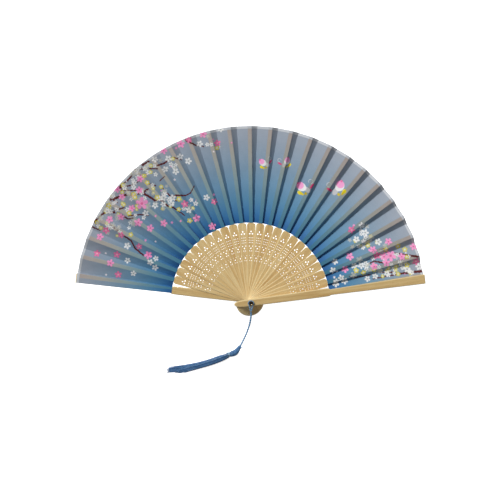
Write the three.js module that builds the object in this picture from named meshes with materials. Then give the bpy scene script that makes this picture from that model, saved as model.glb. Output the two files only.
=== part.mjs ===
// A pleated folding hand fan, opened to its full sweep and leaning back: 23 pierced bamboo sticks between
// two bamboo guards, turning on one hollow eyelet, with a silk leaf in 24 folds and a cord tassel.
//
// Every blade is modelled in the fan's own axes: x to the right and y up in the plane of the open fan,
// z towards the viewer, with the pivot axis along z. The whole group then leans back about the x axis.
// The origin is on the pivot axis, in the middle of the stack. Millimetres and degrees.
import * as THREE from "three";
import { mergeVertices } from "three/addons/utils/BufferGeometryUtils.js";

// ---- driving dimensions ----
const LEAN = 17; // how far the open fan leans back from upright
const STICKS = 23;
const STEP = 6.8; // angle from one stick to the next when open
const FIRST_BLADE = 8.1; // where the sticks lie when the fan is closed
const FRONT_GUARD_ANGLE = 7.65;
const BACK_GUARD_ANGLE = 173.0;

const STICK_THICKNESS = 0.6;
const TIP_THINNING = 0.25; // how much thinner a stick is at its tip
const GAP = 0.3; // running gap between layers
const PITCH = STICK_THICKNESS + GAP;
const GUARD_THICKNESS = 2.6;
const STACK = 2 * GUARD_THICKNESS + STICKS * STICK_THICKNESS + (STICKS + 1) * GAP;

const PIVOT_HOLE_RADIUS = 2.0;
const TAIL_REACH = 16; // a stick's round end beyond the pivot
const ROOT_HALF_WIDTH = 3.75; // a stick's half width at the pivot
const FLARE_HALF_WIDTH = 4.6; // and where its broad lower part is widest
const FLARE_REACH = 78;
const SHOULDER_REACH = 86.2; // where the broad lower part of a stick ends
const SHOULDER_ROUND = 3.2;
const STRIP_WIDTH = 3.8; // the narrow upper part that carries the silk
const STRIP_REACH = 189.5;

const GUARD_REACH = 192;
const LEAF_INNER = 86.9;
const LEAF_OUTER = 191;
const LEAF_THICKNESS = 0.25;
const RIDGE = 1.5; // angle of a front crease from its stick's centre line
const VALLEY = -1.75; // angle of a back crease from its stick's centre line
const PLEAT_DEPTH = 5.5; // at the outer edge, shrinking towards the pivot
const END_DEPTH = 3.4; // of the last back crease, beside the back guard, at the outer edge
const END_CREASE_GAP = 1.4; // from the back guard's edge to that crease
const CREASE_CLEARANCE = 0.35; // between one fold's edge and the next fold's front crease
const GUARD_COVER = 2.05; // half angle of the first fold glued under the front guard

const FLOOR = -53; // height of the surface that the tassel lies on
const CORD_DIAMETER = 2.1;

// ---- colours ----
const BAMBOO = { color: 0xd0b27a, roughness: 0.55, metalness: 0 };
const GUARD_BAMBOO = { color: 0xdcc08c, roughness: 0.5, metalness: 0 };
const SILK = { color: 0x4f7fae, roughness: 0.75, metalness: 0 };
const BRASS = { color: 0xb59a5c, roughness: 0.35, metalness: 1 };
const THREAD = { color: 0x4a7fae, roughness: 0.85, metalness: 0 };

const radians = THREE.MathUtils.degToRad;
const fan = new THREE.Group();
fan.rotation.x = radians(90 - LEAN);
const part = new THREE.Group();
part.add(fan);

function add(group, name, geometry, look) {
  const mesh = new THREE.Mesh(geometry, new THREE.MeshStandardMaterial(look));
  mesh.name = name;
  group.add(mesh);
  return mesh;
}

// Turns a blade, modelled along +x with its back face at z = 0, to its angle and its layer.
function place(mesh, angle, back) {
  mesh.rotation.z = radians(angle);
  mesh.position.z = back;
  return mesh;
}

const frontGuardBack = STACK / 2 - GUARD_THICKNESS;
const stickBack = (k) => frontGuardBack - k * PITCH;
const stickAngle = (k) => FIRST_BLADE + k * STEP;

// ---- sticks ----

function lozenge(r, across, length, width) {
  const hole = new THREE.Path();
  hole.moveTo(r - length / 2, across);
  hole.lineTo(r, across - width / 2);
  hole.lineTo(r + length / 2, across);
  hole.lineTo(r, across + width / 2);
  hole.closePath();
  return hole;
}

function slot(r, length, width) {
  const hole = new THREE.Path();
  hole.moveTo(r - width / 2, -length / 2);
  hole.lineTo(r + width / 2, -length / 2);
  hole.lineTo(r + width / 2, length / 2);
  hole.lineTo(r - width / 2, length / 2);
  hole.closePath();
  return hole;
}

// The pierced pattern: a three-petal bud, three rows of dashes and two flower hearts.
const BUD = 76.6;
const BUD_SIDE = 73.8;
const DASHES = [
  [69.9, 5.6],
  [67.1, 5.3],
  [64.5, 5.0],
];
const DASH_WIDTH = 0.7;
const HEARTS = [58.4, 47.9];

function fretwork() {
  return [
    lozenge(BUD, 0, 2.6, 2.0),
    lozenge(BUD_SIDE, 1.75, 1.8, 2.6),
    lozenge(BUD_SIDE, -1.75, 1.8, 2.6),
    ...DASHES.map(([r, length]) => slot(r, length, DASH_WIDTH)),
    ...HEARTS.map((r) => lozenge(r, 0, 3.0, 2.4)),
  ];
}

function pivotHole() {
  return new THREE.Path().absarc(0, 0, PIVOT_HOLE_RADIUS, 0, 2 * Math.PI, true);
}

function stickGeometry() {
  const w = FLARE_HALF_WIDTH;
  const tail = ROOT_HALF_WIDTH;
  const shoulder = SHOULDER_REACH - SHOULDER_ROUND;
  const strip = (r) => r * Math.tan(radians(RIDGE));
  const outline = new THREE.Shape();
  outline.moveTo(shoulder, -w);
  outline.quadraticCurveTo(SHOULDER_REACH, -w, SHOULDER_REACH, strip(SHOULDER_REACH) - STRIP_WIDTH);
  outline.lineTo(STRIP_REACH, strip(STRIP_REACH) - STRIP_WIDTH);
  outline.lineTo(STRIP_REACH, strip(STRIP_REACH));
  outline.lineTo(SHOULDER_REACH, strip(SHOULDER_REACH));
  outline.quadraticCurveTo(SHOULDER_REACH, w, shoulder, w);
  outline.lineTo(FLARE_REACH, w);
  outline.lineTo(0, tail);
  outline.absarc(tail - TAIL_REACH, 0, tail, Math.PI / 2, (3 * Math.PI) / 2, false);
  outline.lineTo(0, -tail);
  outline.lineTo(FLARE_REACH, -w);
  outline.closePath();
  outline.holes.push(pivotHole(), ...fretwork());
  const geometry = new THREE.ExtrudeGeometry(outline, {
    depth: STICK_THICKNESS,
    bevelEnabled: false,
    curveSegments: 5,
  });
  const position = geometry.getAttribute("position");
  for (let i = 0; i < position.count; i++) {
    const along = (position.getX(i) - SHOULDER_REACH) / (STRIP_REACH - SHOULDER_REACH);
    if (position.getZ(i) > 0 && along > 0) position.setZ(i, STICK_THICKNESS - TIP_THINNING * along);
  }
  return geometry;
}

const stick = stickGeometry();
for (let k = 1; k <= STICKS; k++) {
  const name = "stick_" + String(k).padStart(2, "0");
  place(add(fan, name, stick, BAMBOO), stickAngle(k), stickBack(k));
}

// ---- guards: the two broad end blades, the back one a mirror image of the front one ----

// Half widths on the leaf's side and on the outer side, in four places from the pivot to the tip.
const GUARD_CHAMFER = 0.45;
const GUARD_TAIL = 18;
const GUARD_FLARE = 62;
const GUARD_INNER = { root: 3.9, flare: 5.0, neck: 3.3, tip: 6.0 };
const GUARD_OUTER = { root: 3.4, flare: 4.1, neck: 3.0, tip: 4.4 };

function guardGeometry(side) {
  const chamfer = GUARD_CHAMFER;
  const inner = (place) => GUARD_INNER[place] - chamfer;
  const outer = (place) => chamfer - GUARD_OUTER[place];
  const tail = GUARD_TAIL - chamfer;
  const shoulder = SHOULDER_REACH - SHOULDER_ROUND;
  const neck = SHOULDER_REACH + 1.5;
  const end = GUARD_REACH - chamfer;
  const outline = new THREE.Shape();
  outline.moveTo(0, inner("root"));
  outline.quadraticCurveTo(-tail * 0.8, inner("root"), -tail, 1.0);
  outline.lineTo(-tail, -0.6);
  outline.quadraticCurveTo(-tail * 0.85, outer("root"), 0, outer("root"));
  outline.lineTo(GUARD_FLARE, outer("flare"));
  outline.lineTo(shoulder, outer("flare"));
  outline.quadraticCurveTo(SHOULDER_REACH, outer("flare"), neck, outer("neck"));
  outline.lineTo(end, outer("tip"));
  outline.lineTo(end, inner("tip"));
  outline.lineTo(neck, inner("neck"));
  outline.quadraticCurveTo(SHOULDER_REACH, inner("flare"), shoulder, inner("flare"));
  outline.lineTo(GUARD_FLARE, inner("flare"));
  outline.closePath();
  outline.holes.push(
    new THREE.Path().absarc(0, 0, PIVOT_HOLE_RADIUS + chamfer, 0, 2 * Math.PI, true),
  );
  const geometry = new THREE.ExtrudeGeometry(outline, {
    depth: GUARD_THICKNESS - 2 * chamfer,
    bevelThickness: chamfer,
    bevelSize: chamfer,
    bevelSegments: 1,
    curveSegments: 5,
  });
  geometry.translate(0, 0, chamfer);
  if (side < 0) geometry.rotateX(Math.PI).translate(0, 0, GUARD_THICKNESS);
  return geometry;
}

place(add(fan, "front_guard", guardGeometry(1), GUARD_BAMBOO), FRONT_GUARD_ANGLE, frontGuardBack);
place(add(fan, "back_guard", guardGeometry(-1), GUARD_BAMBOO), BACK_GUARD_ANGLE, -STACK / 2);

// ---- silk leaf: one fold per blade ----

// A thin folded plate between two cross-sections, each a row of points on its front face.
function foldedPlate(inner, outer, thickness) {
  const columns = inner.length;
  const vertices = [];
  for (const lift of [0, -thickness])
    for (const section of [inner, outer]) for (const p of section) vertices.push(p.x, p.y, p.z + lift);
  const at = (layer, section, column) => (2 * layer + section) * columns + column;
  const index = [];
  const quad = (a, b, c, d) => index.push(a, b, c, a, c, d);
  for (let i = 0; i + 1 < columns; i++) {
    quad(at(0, 0, i), at(0, 0, i + 1), at(0, 1, i + 1), at(0, 1, i));
    index.push(at(1, 0, i), at(1, 1, i + 1), at(1, 0, i + 1));
    index.push(at(1, 0, i), at(1, 1, i), at(1, 1, i + 1));
    quad(at(1, 0, i), at(1, 0, i + 1), at(0, 0, i + 1), at(0, 0, i));
    quad(at(0, 1, i), at(0, 1, i + 1), at(1, 1, i + 1), at(1, 1, i));
  }
  const last = columns - 1;
  quad(at(0, 0, 0), at(0, 1, 0), at(1, 1, 0), at(1, 0, 0));
  quad(at(1, 0, last), at(1, 1, last), at(0, 1, last), at(0, 0, last));
  const geometry = new THREE.BufferGeometry();
  geometry.setAttribute("position", new THREE.Float32BufferAttribute(vertices, 3));
  geometry.setIndex(index);
  return geometry;
}

// A point of the leaf: an angle in degrees with a shift across in millimetres, a radius and a height.
function leafPoint(angle, shift, r, z) {
  const a = radians(angle) + shift / r;
  return new THREE.Vector3(r * Math.cos(a), r * Math.sin(a), z);
}

const leafTop = (k) => stickBack(k) + STICK_THICKNESS + GAP + LEAF_THICKNESS;
const depthAt = (r) => (PLEAT_DEPTH * r) / LEAF_OUTER;
const underGuard = frontGuardBack - GAP;
const overGuard = -STACK / 2 + GUARD_THICKNESS + GAP + LEAF_THICKNESS;

// The fold of stick k: front crease, over the strip, down to the back crease and up to the next blade.
function leafSection(k, r) {
  const blade = stickAngle(k);
  const section = [
    leafPoint(blade + RIDGE, 0, r, leafTop(k)),
    leafPoint(blade + RIDGE, -STRIP_WIDTH - GAP, r, leafTop(k)),
    leafPoint(blade + VALLEY, 0, r, leafTop(k) - depthAt(r)),
  ];
  const before = stickAngle(k - 1) + RIDGE;
  if (k > 1) section.push(leafPoint(before, CREASE_CLEARANCE, r, leafTop(k - 1)));
  else
    section.push(
      leafPoint(FRONT_GUARD_ANGLE + GUARD_COVER, 0, r, underGuard),
      leafPoint(FRONT_GUARD_ANGLE - GUARD_COVER / 2, 0, r, underGuard),
    );
  return section;
}

// The last fold lies over the back guard, drops to a crease beside it and rises to the last front crease.
function endSection(r) {
  const along = (r - LEAF_INNER) / (LEAF_OUTER - LEAF_INNER);
  const edge = GUARD_INNER.neck + along * (GUARD_INNER.tip - GUARD_INNER.neck);
  const far = GUARD_OUTER.neck + along * (GUARD_OUTER.tip - GUARD_OUTER.neck);
  const crease = overGuard - (END_DEPTH * r) / LEAF_OUTER;
  return [
    leafPoint(BACK_GUARD_ANGLE, far, r, overGuard),
    leafPoint(BACK_GUARD_ANGLE, -edge - GAP, r, overGuard),
    leafPoint(BACK_GUARD_ANGLE, -edge - END_CREASE_GAP, r, crease),
    leafPoint(stickAngle(STICKS) + RIDGE, CREASE_CLEARANCE, r, leafTop(STICKS)),
  ];
}

for (let k = 1; k <= STICKS + 1; k++) {
  const section = k <= STICKS ? (r) => leafSection(k, r) : endSection;
  const plate = foldedPlate(section(LEAF_INNER), section(LEAF_OUTER), LEAF_THICKNESS);
  add(fan, "leaf_" + String(k).padStart(2, "0"), plate, SILK);
}

// ---- eyelet through all the blades, and its back washer ----

// A ring turned about the pivot axis: the points are (radius, z), and the profile closes on itself.
// Lathe turns about y, and rotateX lays y along z.
function turned(points, segments) {
  const profile = [...points, points[0]].map(([r, z]) => new THREE.Vector2(r, z));
  return new THREE.LatheGeometry(profile, segments).rotateX(Math.PI / 2);
}

const ROUND = 16;
const BORE = 1.3;
const SHANK = 1.7;
const NECK = 2.0; // the part between the eyelet's flange and its rolled lip
const NECK_LENGTH = 1.8;
const RIM = 0.5; // thickness of the flange, the rolled lip and the washer
const BACK_RIM = 0.6;
const face = STACK / 2 + GAP;
const back = -face - RIM - GAP;
const neckTop = face + RIM + NECK_LENGTH;
const loopZ = (face + RIM + neckTop) / 2;
const eyeletProfile = [
  [BORE, back - BACK_RIM],
  [2.5, back - BACK_RIM],
  [2.5, back],
  [SHANK, back],
  [SHANK, face],
  [2.9, face],
  [2.9, face + RIM],
  [NECK, face + RIM],
  [NECK, neckTop],
  [2.6, neckTop],
  [2.6, neckTop + RIM],
  [BORE, neckTop + RIM],
];
const washerProfile = [
  [SHANK + GAP, -face - RIM],
  [3.2, -face - RIM],
  [3.2, -face],
  [SHANK + GAP, -face],
];
add(fan, "eyelet", turned(eyeletProfile, ROUND), BRASS);
add(fan, "back_washer", turned(washerProfile, ROUND), BRASS);

// ---- cord and tassel ----

function tube(points, radius, steps, sides) {
  const section = new THREE.Shape().absarc(0, 0, radius, 0, 2 * Math.PI, false);
  const path = new THREE.CatmullRomCurve3(points);
  return new THREE.ExtrudeGeometry(section, {
    steps,
    extrudePath: path,
    curveSegments: sides / 2,
  });
}

// The loop goes round the eyelet's neck, and its two ends come together below it.
const LOOP_WIRE = 0.5;
const loopRadius = NECK + GAP + LOOP_WIRE;
const loopPoints = [new THREE.Vector3(0.7, -8.0, loopZ), new THREE.Vector3(1.0, -5.6, loopZ)];
for (let a = -35; a <= 215; a += 25)
  loopPoints.push(
    new THREE.Vector3(loopRadius * Math.cos(radians(a)), loopRadius * Math.sin(radians(a)), loopZ),
  );
loopPoints.push(new THREE.Vector3(-1.0, -5.6, loopZ), new THREE.Vector3(-0.7, -8.0, loopZ));
add(fan, "cord_loop", tube(loopPoints, LOOP_WIRE, 30, 8), THREAD);

// The cord falls from the loop and curves on to the floor; these points are in the part's own frame.
const cordRoute = [
  [0.0, -16.7, -4.7],
  [0.2, -16.9, -6.9],
  [0.2, -17.2, -9.4],
  [0.0, -17.4, -12.0],
  [-0.4, -17.6, -14.9],
  [-0.9, -17.9, -18.0],
  [-1.7, -18.2, -21.2],
  [-2.7, -18.5, -24.5],
  [-3.8, -18.9, -27.9],
  [-5.0, -19.3, -31.1],
  [-6.4, -19.7, -34.4],
  [-7.9, -20.3, -37.6],
  [-9.4, -21.0, -40.7],
  [-11.1, -21.9, -43.6],
  [-12.9, -22.9, -46.2],
  [-14.7, -24.0, -48.3],
  [-16.4, -25.2, -49.7],
].map((p) => new THREE.Vector3(...p));
add(part, "tassel_cord", tube(cordRoute, CORD_DIAMETER / 2, 32, 8), THREAD);

// The tassel lies on the floor, along one heading. Its pieces are modelled from its top along +x.
const TASSEL_HEADING = 207.45;
const tassel = new THREE.Group();
tassel.position.set(-17.2, -26.0, FLOOR + 0.1);
tassel.rotation.z = radians(TASSEL_HEADING);
part.add(tassel);

const HEAD_LENGTH = 6.4;
const HEAD_RADIUS = 3.2;
const BINDING_LENGTH = 2.4;
const BINDING_RADIUS = 2.8;
const SKIRT_LENGTH = 75.9;

// A body of oval sections along x: each is [x, half width, half height], resting on z = 0.
function ovalLoft(sections, sides) {
  const vertices = [];
  for (const [x, halfWidth, halfHeight] of sections)
    for (let i = 0; i < sides; i++) {
      const a = (2 * Math.PI * i) / sides;
      vertices.push(x, halfWidth * Math.cos(a), halfHeight * (1 + Math.sin(a)));
    }
  const index = [];
  for (let s = 0; s + 1 < sections.length; s++)
    for (let i = 0; i < sides; i++) {
      const a = s * sides + i;
      const b = s * sides + ((i + 1) % sides);
      index.push(a, b, b + sides, a, b + sides, a + sides);
    }
  const end = (sections.length - 1) * sides;
  for (let i = 1; i + 1 < sides; i++) index.push(0, i + 1, i, end, end + i, end + i + 1);
  const geometry = new THREE.BufferGeometry();
  geometry.setAttribute("position", new THREE.Float32BufferAttribute(vertices, 3));
  geometry.setIndex(index);
  return geometry;
}

const head = new THREE.SphereGeometry(HEAD_RADIUS, 12, 8);
head.translate(HEAD_LENGTH / 2 + GAP, 0, HEAD_RADIUS + 0.05);
add(tassel, "tassel_head", head, THREAD);

const bindingStart = 2 * GAP + HEAD_LENGTH;
const binding = ovalLoft(
  [
    [bindingStart, BINDING_RADIUS, BINDING_RADIUS],
    [bindingStart + BINDING_LENGTH, BINDING_RADIUS, BINDING_RADIUS],
  ],
  12,
);
add(tassel, "tassel_binding", binding, THREAD);

const skirtStart = bindingStart + BINDING_LENGTH + GAP;
const skirt = ovalLoft(
  [
    [skirtStart, 3.0, 2.7],
    [skirtStart + 0.12 * SKIRT_LENGTH, 4.0, 3.2],
    [skirtStart + 0.5 * SKIRT_LENGTH, 5.2, 2.9],
    [skirtStart + SKIRT_LENGTH, 7.2, 2.3],
  ],
  12,
);
add(tassel, "tassel_skirt", skirt, THREAD);

// Solids are meshes whose shared corners are one vertex.
part.traverse((o) => {
  if (!o.isMesh) return;
  const geometry = o.geometry.clone();
  geometry.deleteAttribute("normal");
  geometry.deleteAttribute("uv");
  o.geometry = mergeVertices(geometry, 1e-4);
  o.geometry.computeVertexNormals();
});

export default part;
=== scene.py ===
"""The looks of a pleated silk hand fan: pierced bamboo sticks, two guards, a printed leaf and a cord tassel.

Blades and silk are modelled in the fan's own axes, in millimetres: x to the right and y up in the plane
of the open fan, z towards the viewer, with the pivot along z. FAN takes them to the frame, in metres.
"""

import math

import bmesh
import bpy
import numpy as np
from mathutils import Matrix, Vector


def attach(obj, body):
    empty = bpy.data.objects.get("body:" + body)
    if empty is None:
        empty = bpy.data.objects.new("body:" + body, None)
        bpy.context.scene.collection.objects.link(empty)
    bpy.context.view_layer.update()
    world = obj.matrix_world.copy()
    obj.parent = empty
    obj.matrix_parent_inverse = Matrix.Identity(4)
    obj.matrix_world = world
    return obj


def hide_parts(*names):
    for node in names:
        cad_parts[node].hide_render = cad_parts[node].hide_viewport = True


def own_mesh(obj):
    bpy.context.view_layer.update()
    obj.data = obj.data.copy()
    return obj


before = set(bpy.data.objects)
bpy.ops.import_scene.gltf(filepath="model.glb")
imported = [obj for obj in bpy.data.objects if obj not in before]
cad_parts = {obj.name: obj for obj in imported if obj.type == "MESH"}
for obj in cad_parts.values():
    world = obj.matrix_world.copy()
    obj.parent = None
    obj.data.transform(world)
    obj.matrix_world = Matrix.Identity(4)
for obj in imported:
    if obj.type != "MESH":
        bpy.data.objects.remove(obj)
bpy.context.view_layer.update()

# ---- the fan's sizes, as in the CAD model, in millimetres and degrees ----
MM = 0.001
LEAN = 17
STICKS = 23
STEP = 6.8
FIRST_BLADE = 8.1
FRONT_GUARD_ANGLE = 7.65
BACK_GUARD_ANGLE = 173.0
STICK_THICKNESS = 0.6
TIP_THINNING = 0.25
GAP = 0.3
PITCH = STICK_THICKNESS + GAP
GUARD_THICKNESS = 2.6
STACK = 2 * GUARD_THICKNESS + STICKS * STICK_THICKNESS + (STICKS + 1) * GAP
FRONT_GUARD_BACK = STACK / 2 - GUARD_THICKNESS
PIVOT_HOLE_RADIUS = 2.0
TAIL_REACH = 16
ROOT_HALF_WIDTH = 3.75
FLARE_HALF_WIDTH = 4.6
FLARE_REACH = 78
SHOULDER_REACH = 86.2
SHOULDER_ROUND = 3.2
STRIP_WIDTH = 3.8
STRIP_REACH = 189.5
GUARD_REACH = 192
GUARD_TAIL = 18
GUARD_FLARE = 62
GUARD_INNER = {"root": 3.9, "flare": 5.0, "neck": 3.3, "tip": 6.0}
GUARD_OUTER = {"root": 3.4, "flare": 4.1, "neck": 3.0, "tip": 4.4}
LEAF_INNER = 86.3
LEAF_OUTER = 191
RIDGE = 1.5
VALLEY = -1.75
PLEAT_DEPTH = 5.5
END_DEPTH = 3.4
END_CREASE_GAP = 1.4
GUARD_COVER = 2.05
FLOOR = -53

FAN = Matrix.Rotation(math.radians(90 - LEAN), 4, "X") @ Matrix.Scale(MM, 4)
FAN_NORMAL = FAN.to_3x3() @ Vector((0, 0, 1)) / MM
rng = np.random.default_rng(7)


def stick_angle(k):
    return FIRST_BLADE + k * STEP


def stick_back(k):
    return FRONT_GUARD_BACK - k * PITCH


def blade_matrix(angle, back):
    """Takes a blade, modelled along x with its back face at z = 0, to its place in the frame."""
    return FAN @ Matrix.Rotation(math.radians(angle), 4, "Z") @ Matrix.Translation((0, 0, back))


# ---- camera: a little above the leaf's normal and to the left of it ----
CAMERA_DISTANCE = 1270
CAMERA_RISE = 5.67
CAMERA_SIDE = -3.08
CAMERA_ROLL = 0.41
CAMERA_AIM = Vector((-0.64, 56.5, 0))  # the point of the leaf's plane in the middle of the view
CAMERA_LENS = 83.97


def add_camera():
    side = Matrix.Rotation(math.radians(CAMERA_SIDE), 4, "Y")
    rise = Matrix.Rotation(math.radians(-CAMERA_RISE), 4, "X")
    roll = Matrix.Rotation(math.radians(CAMERA_ROLL), 4, "Z")
    stand = Matrix.Translation(CAMERA_AIM) @ side @ rise @ Matrix.Translation((0, 0, CAMERA_DISTANCE)) @ roll
    camera = bpy.data.objects.new("camera", bpy.data.cameras.new("camera"))
    camera.data.lens = CAMERA_LENS
    camera.data.sensor_width = 36
    camera.data.clip_start = 0.01
    camera.matrix_world = FAN @ stand @ Matrix.Scale(1 / MM, 4)
    bpy.context.scene.collection.objects.link(camera)
    bpy.context.scene.camera = camera


add_camera()

# ---- colours and node materials ----


def linear(red, green, blue):
    """A screen colour, 0 to 255, as linear light."""
    return tuple(((c / 255 + 0.055) / 1.055) ** 2.4 if c > 10 else c / 3295 for c in (red, green, blue))


class Look:
    """A node material in the making, with its Principled shader: node() adds a node and joins its sockets."""

    def __init__(self, name, **settings):
        self.material = bpy.data.materials.new(name)
        self.material.use_nodes = True
        self.tree = self.material.node_tree
        self.shader = self.tree.nodes["Principled BSDF"]
        for socket, value in settings.items():
            self.shader.inputs[socket.replace("_", " ").capitalize()].default_value = value

    def node(self, kind, inputs=None, **settings):
        made = self.tree.nodes.new("ShaderNode" + kind)
        for key, value in settings.items():
            setattr(made, key, value)
        for socket, value in (inputs or {}).items():
            if isinstance(value, bpy.types.NodeSocket):
                self.tree.links.new(value, made.inputs[socket])
            else:
                made.inputs[socket].default_value = value
        return made

    def mix(self, factor, a, b, blend="MIX"):
        made = self.node("Mix", data_type="RGBA", blend_type=blend)
        for socket, value in ((0, factor), (6, a), (7, b)):
            if isinstance(value, bpy.types.NodeSocket):
                self.tree.links.new(value, made.inputs[socket])
            else:
                made.inputs[socket].default_value = value if socket == 0 else (*value, 1)
        return made.outputs[2]

    def math(self, operation, a, b=0.5, c=0.5):
        return self.node("Math", {0: a, 1: b, 2: c}, operation=operation).outputs[0]

    def fade(self, value, low, high, start=0.0, end=1.0):
        return self.node(
            "MapRange", {"Value": value, "From Min": low, "From Max": high, "To Min": start, "To Max": end}
        ).outputs[0]

    def ramp(self, value, stops):
        made = self.node("ValToRGB", {"Fac": value})
        elements = made.color_ramp.elements
        while len(elements) < len(stops):
            elements.new(0.5)
        for element, (place, colour) in zip(elements, stops):
            element.position = place
            element.color = (*linear(*colour), 1)
        return made.outputs["Color"]

    def noise(self, vector, scale, detail=2.0, roughness=0.5):
        inputs = {"Vector": vector, "Scale": scale, "Detail": detail, "Roughness": roughness}
        return self.node("TexNoise", inputs).outputs["Fac"]

    def stretched(self, vector, x, y, z):
        return self.node("Mapping", {"Vector": vector, "Scale": (x, y, z)}).outputs["Vector"]

    def finish(self, colour, roughness=None, bumps=()):
        """Joins the colour, the roughness and the bumps, each a height socket with its depth in metres."""
        self.tree.links.new(colour, self.shader.inputs["Base Color"])
        if roughness is not None:
            self.tree.links.new(roughness, self.shader.inputs["Roughness"])
        normal = None
        for height, depth in bumps:
            inputs = {"Height": height, "Distance": depth, "Strength": 1.0}
            if normal:
                inputs["Normal"] = normal
            normal = self.node("Bump", inputs).outputs["Normal"]
        if normal:
            self.tree.links.new(normal, self.shader.inputs["Normal"])
        return self.material


def bamboo_look(name, dark, middle, light):
    """Split bamboo: long fibres along x, pores between them, a tone that differs from blade to blade, and pale
    edges that are partly paler cut bamboo and partly painted highlight.
    """
    look = Look(name)
    look.shader.inputs["Specular IOR Level"].default_value = 0.42
    where = look.node("TexCoord").outputs["Object"]
    tone = look.node("Attribute", attribute_name="tone").outputs["Fac"]
    along = look.node("CombineXYZ", {"X": tone, "Y": tone, "Z": tone}).outputs[0]
    moved = look.node("VectorMath", {0: where, 1: along}, operation="ADD").outputs[0]
    broad = look.noise(look.stretched(moved, 18, 260, 120), 1.0, 3.0)
    fibre = look.noise(look.stretched(moved, 40, 2600, 900), 1.0, 3.0, 0.6)
    pores = look.noise(look.stretched(moved, 260, 5200, 2000), 1.0, 1.0)
    value = look.math("MULTIPLY_ADD", broad, 0.55, look.math("MULTIPLY", fibre, 0.45))
    value = look.math("ADD", value, look.fade(tone, 0, 1, -0.05, 0.05))
    colour = look.ramp(value, [(0.28, dark), (0.5, middle), (0.72, light)])
    specks = look.fade(pores, 0.3, 0.38, 0.35, 0.0)
    colour = look.mix(specks, colour, linear(150, 105, 55))
    # Paler colour on the blade's sides and rounded edges: partly the paler cut bamboo, partly painted highlight
    # lines along the edges.
    edge = look.node("Attribute", attribute_name="edge").outputs["Fac"]
    colour = look.mix(look.math("MULTIPLY", edge, 0.7), colour, linear(252, 236, 186))
    return look.finish(colour, look.fade(fibre, 0.3, 0.7, 0.55, 0.38), [(fibre, 0.00004)])


def silk_look():
    """Dyed silk, deep blue by the sticks and grey-blue outside, that deep blue partly dye and partly painted
    shade, with bamboo showing through where glued.
    """
    look = Look("printed_silk", Roughness=0.62)
    look.shader.inputs["Sheen Weight"].default_value = 0.12
    look.shader.inputs["Sheen Roughness"].default_value = 0.4
    look.shader.inputs["Specular IOR Level"].default_value = 0.3
    uv = look.node("UVMap", uv_map="arc_and_radius").outputs["UV"]
    radius = look.node("SeparateXYZ", {"Vector": uv}).outputs["Y"]
    share = look.fade(radius, LEAF_INNER * UV_SCALE, LEAF_OUTER * UV_SCALE)
    free = look.ramp(share, SILK_STOPS)
    glued = look.ramp(share, GLUED_STOPS)
    strip = look.node("Attribute", attribute_name="strip").outputs["Fac"]
    colour = look.mix(strip, free, glued)
    slubs = look.noise(look.stretched(uv, 30, 900, 1), 1.0, 2.0)
    cloud = look.noise(look.stretched(uv, 12, 12, 1), 1.0, 2.0)
    streaks = look.fade(slubs, 0.25, 0.75, 0.93, 1.05)
    shade = look.math("ADD", streaks, look.fade(cloud, 0.3, 0.7, -0.04, 0.04))
    tinted = look.node("VectorMath", {0: colour, "Scale": shade}, operation="SCALE").outputs[0]
    hem = look.fade(look.node("Attribute", attribute_name="hem").outputs["Fac"], 0.4, 0.6)
    colour = look.mix(hem, tinted, linear(205, 209, 214))
    paint = look.node("Attribute", attribute_name="print")
    colour = look.mix(paint.outputs["Alpha"], colour, paint.outputs["Color"])
    warp = look.node("TexWave", {"Vector": uv, "Scale": WEAVE_SCALE}, bands_direction="X").outputs["Fac"]
    weft = look.node("TexWave", {"Vector": uv, "Scale": WEAVE_SCALE}, bands_direction="Y").outputs["Fac"]
    weave = look.math("MAXIMUM", warp, weft)
    return look.finish(colour, None, [(slubs, 0.00006), (weave, 0.00003)])


def thread_look(name, dark, middle, light, roughness):
    """Rayon thread: a soft shine, a fine twist and a tone that differs from thread to thread."""
    look = Look(name, Roughness=roughness)
    look.shader.inputs["Sheen Weight"].default_value = 0.25
    look.shader.inputs["Sheen Roughness"].default_value = 0.35
    where = look.node("TexCoord").outputs["Object"]
    tone = look.node("Attribute", attribute_name="tone").outputs["Fac"]
    mottle = look.noise(where, 900, 2.0)
    value = look.math("MULTIPLY_ADD", mottle, 0.35, look.math("MULTIPLY", tone, 0.65))
    colour = look.ramp(value, [(0.2, dark), (0.5, middle), (0.8, light)])
    twist = look.noise(where, 5200, 1.0)
    return look.finish(colour, None, [(twist, 0.00008)])


def brass_look():
    look = Look("aged_brass", Metallic=1.0)
    where = look.node("TexCoord").outputs["Object"]
    worn = look.noise(where, 420, 3.0)
    colour = look.ramp(worn, [(0.3, (62, 52, 40)), (0.5, (112, 94, 66)), (0.7, (164, 142, 104))])
    roughness = look.fade(worn, 0.3, 0.7, 0.5, 0.24)
    return look.finish(colour, roughness, [(look.noise(where, 1800, 2.0), 0.00003)])


UV_SCALE = 1 / 200  # UV units to the millimetre
WEAVE_SCALE = 120
# Colours of the free silk from the sticks to the hem; the darkest blue by the sticks is partly dye and partly
# painted shade.
SILK_STOPS = [
    (0.0, (32, 92, 154)),
    (0.1, (58, 119, 170)),
    (0.25, (87, 139, 174)),
    (0.45, (112, 150, 178)),
    (0.65, (134, 157, 177)),
    (0.85, (152, 165, 180)),
    (1.0, (164, 172, 184)),
]
GLUED_STOPS = [
    (0.0, (64, 128, 160)),
    (0.25, (104, 148, 165)),
    (0.5, (146, 168, 170)),
    (0.75, (176, 174, 166)),
    (1.0, (186, 174, 168)),
]

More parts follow.
